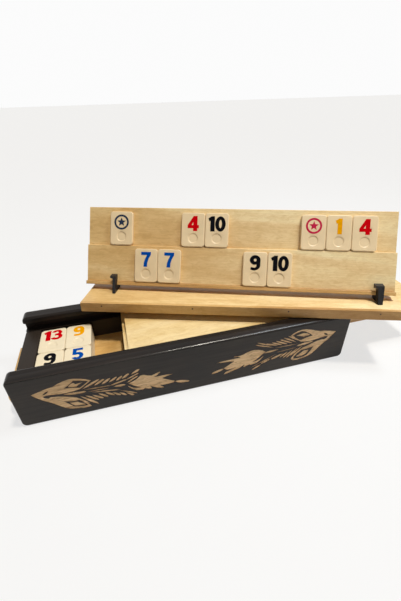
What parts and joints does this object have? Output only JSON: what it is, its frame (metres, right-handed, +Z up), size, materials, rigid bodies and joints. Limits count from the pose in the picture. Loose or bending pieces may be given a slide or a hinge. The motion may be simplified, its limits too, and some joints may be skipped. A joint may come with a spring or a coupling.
{
  "type": "rummy tile case",
  "caption": "Long black-stained wooden case with a sliding lid made of two nested two-tier racks, tiles stacked inside, and two more racks set across its top holding numbered tiles.",
  "frame": {"origin": "middle of the front panel's underside, on the table", "axes": "+X along the case towards the end the lid slides out of, +Y to the case's back, +Z up"},
  "size_m": [0.4639, 0.2012, 0.1502],
  "materials": {
    "black_wood": "black stain under satin varnish, rubbed a little at the edges",
    "pale_board": "pale lime plywood under thin clear varnish",
    "strip_wood": "pale strip wood, clear varnish",
    "nail_steel": "dull dark nail heads",
    "black_plastic": "black moulded plastic, satin",
    "ivory": "ivory moulded plastic, soft gloss"
  },
  "bodies": {
    "case": {"case_front_panel": "black_wood", "case_back_panel": "black_wood", "case_left_wall": "black_wood", "case_right_wall": "black_wood"},
    "sliding_floor": {"sliding_floor": "pale_board"},
    "lower_lid_rack": {"lower_lid_rack_back_board": "pale_board", "lower_lid_rack_tier_board": "pale_board", "lower_lid_rack_ledge_strip": "strip_wood", "lower_lid_rack_nails": "nail_steel"},
    "upper_lid_rack": {"upper_lid_rack_back_board": "pale_board", "upper_lid_rack_tier_board": "pale_board", "upper_lid_rack_ledge_strip": "strip_wood", "upper_lid_rack_nails": "nail_steel"},
    "base_rack": {"base_rack_back_board": "pale_board", "base_rack_tier_board": "pale_board", "base_rack_ledge_strip": "strip_wood", "base_rack_nails": "nail_steel"},
    "standing_rack": {"standing_rack_back_board": "pale_board", "standing_rack_tier_board": "pale_board", "standing_rack_ledge_strip": "strip_wood", "standing_rack_nails": "nail_steel"},
    "hook_foot_left": {"hook_foot_left": "black_plastic"},
    "hook_foot_right": {"hook_foot_right": "black_plastic"},
    "tile_stack": {"stack_tiles_below": "ivory"},
    "upper_row_tile_1": {"upper_row_tile_1": "ivory"},
    "upper_row_tile_2": {"upper_row_tile_2": "ivory"},
    "upper_row_tile_3": {"upper_row_tile_3": "ivory"},
    "upper_row_tile_4": {"upper_row_tile_4": "ivory"},
    "upper_row_tile_5": {"upper_row_tile_5": "ivory"},
    "upper_row_tile_6": {"upper_row_tile_6": "ivory"},
    "lower_row_tile_1": {"lower_row_tile_1": "ivory"},
    "lower_row_tile_2": {"lower_row_tile_2": "ivory"},
    "lower_row_tile_3": {"lower_row_tile_3": "ivory"},
    "lower_row_tile_4": {"lower_row_tile_4": "ivory"},
    "stack_tile_front_left": {"stack_tile_front_left": "ivory"},
    "stack_tile_front_right": {"stack_tile_front_right": "ivory"},
    "stack_tile_back_left": {"stack_tile_back_left": "ivory"},
    "stack_tile_back_right": {"stack_tile_back_right": "ivory"}
  },
  "joints": [
    {"name": "upper_lid_rack_slide", "type": "slide", "parent": "case", "child": "upper_lid_rack", "axis": [1, 0, 0], "range_m": [-0.1076, 0.13]},
    {"name": "lower_lid_rack_slide", "type": "slide", "parent": "case", "child": "lower_lid_rack", "axis": [1, 0, 0], "range_m": [-0.1038, 0.13]},
    {"name": "floor_slide", "type": "slide", "parent": "case", "child": "sliding_floor", "axis": [1, 0, 0], "range_m": [-0.12, 0.0123]},
    {"name": "tile_stack_lift", "type": "slide", "parent": "case", "child": "tile_stack", "axis": [0, 0, 1], "range_m": [0, 0.0175]},
    {"name": "base_rack_lift", "type": "slide", "parent": "case", "child": "base_rack", "axis": [0, 0, 1], "range_m": [0, 0.12]},
    {"name": "standing_rack_lift", "type": "slide", "parent": "base_rack", "child": "standing_rack", "axis": [0.1821, 0.467, 0.8653], "range_m": [0, 0.12]},
    {"name": "hook_foot_left_pull", "type": "slide", "parent": "base_rack", "child": "hook_foot_left", "axis": [-0.3343, -0.9388, 0.0834], "range_m": [0, 0.03]},
    {"name": "hook_foot_right_pull", "type": "slide", "parent": "base_rack", "child": "hook_foot_right", "axis": [-0.3343, -0.9388, 0.0834], "range_m": [0, 0.03]},
    {"name": "upper_row_tile_1_lift", "type": "slide", "parent": "standing_rack", "child": "upper_row_tile_1", "axis": [-0.3198, -0.804, 0.5012], "range_m": [0, 0.06]},
    {"name": "upper_row_tile_2_lift", "type": "slide", "parent": "standing_rack", "child": "upper_row_tile_2", "axis": [-0.3198, -0.804, 0.5012], "range_m": [0, 0.06]},
    {"name": "upper_row_tile_3_lift", "type": "slide", "parent": "standing_rack", "child": "upper_row_tile_3", "axis": [-0.3198, -0.804, 0.5012], "range_m": [0, 0.06]},
    {"name": "upper_row_tile_4_lift", "type": "slide", "parent": "standing_rack", "child": "upper_row_tile_4", "axis": [-0.3198, -0.804, 0.5012], "range_m": [0, 0.06]},
    {"name": "upper_row_tile_5_lift", "type": "slide", "parent": "standing_rack", "child": "upper_row_tile_5", "axis": [-0.3198, -0.804, 0.5012], "range_m": [0, 0.06]},
    {"name": "upper_row_tile_6_lift", "type": "slide", "parent": "standing_rack", "child": "upper_row_tile_6", "axis": [-0.3198, -0.804, 0.5012], "range_m": [0, 0.06]},
    {"name": "lower_row_tile_1_lift", "type": "slide", "parent": "standing_rack", "child": "lower_row_tile_1", "axis": [-0.3198, -0.804, 0.5012], "range_m": [0, 0.06]},
    {"name": "lower_row_tile_2_lift", "type": "slide", "parent": "standing_rack", "child": "lower_row_tile_2", "axis": [-0.3198, -0.804, 0.5012], "range_m": [0, 0.06]},
    {"name": "lower_row_tile_3_lift", "type": "slide", "parent": "standing_rack", "child": "lower_row_tile_3", "axis": [-0.3198, -0.804, 0.5012], "range_m": [0, 0.06]},
    {"name": "lower_row_tile_4_lift", "type": "slide", "parent": "standing_rack", "child": "lower_row_tile_4", "axis": [-0.3198, -0.804, 0.5012], "range_m": [0, 0.06]},
    {"name": "stack_tile_front_left_lift", "type": "slide", "parent": "tile_stack", "child": "stack_tile_front_left", "axis": [0, 0, 1], "range_m": [0, 0.06]},
    {"name": "stack_tile_front_right_lift", "type": "slide", "parent": "tile_stack", "child": "stack_tile_front_right", "axis": [0, 0, 1], "range_m": [0, 0.06]},
    {"name": "stack_tile_back_left_lift", "type": "slide", "parent": "tile_stack", "child": "stack_tile_back_left", "axis": [0, 0, 1], "range_m": [0, 0.06]},
    {"name": "stack_tile_back_right_lift", "type": "slide", "parent": "tile_stack", "child": "stack_tile_back_right", "axis": [0, 0, 1], "range_m": [0, 0.0175]}
  ]
}
